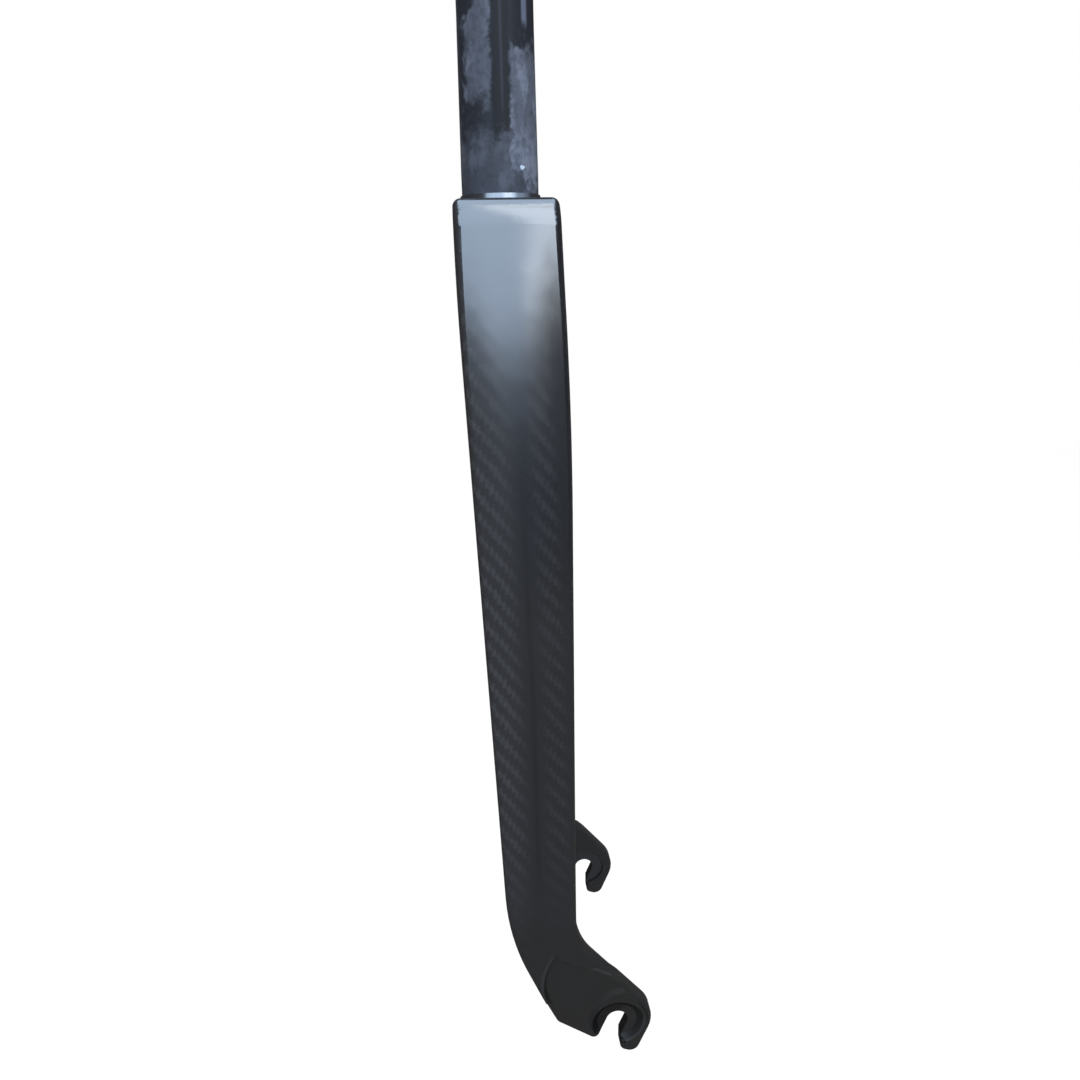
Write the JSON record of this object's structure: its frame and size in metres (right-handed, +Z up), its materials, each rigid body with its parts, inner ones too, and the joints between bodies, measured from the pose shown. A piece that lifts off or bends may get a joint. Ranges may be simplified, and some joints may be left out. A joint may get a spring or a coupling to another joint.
{
  "type": "rigid bicycle fork",
  "caption": "Rigid bicycle fork in moulded carbon: straight steerer, arched crown, tapering blades and hooked dropouts with open axle slots; holds a front wheel and steers it.",
  "frame": {"origin": "on the steerer axis at the foot of the crown race seat, where the tube leaves the crown", "axes": "+Z up the steerer, +X to the front of the bicycle, +Y to the rider's left"},
  "size_m": [0.0755, 0.1178, 0.6846],
  "materials": {
    "raw_carbon": "raw, mottled",
    "satin_carbon": "satin clear coat over twill"
  },
  "bodies": {
    "root": {"steerer_tube": "raw_carbon", "fork_body": "satin_carbon"}
  },
  "joints": []
}
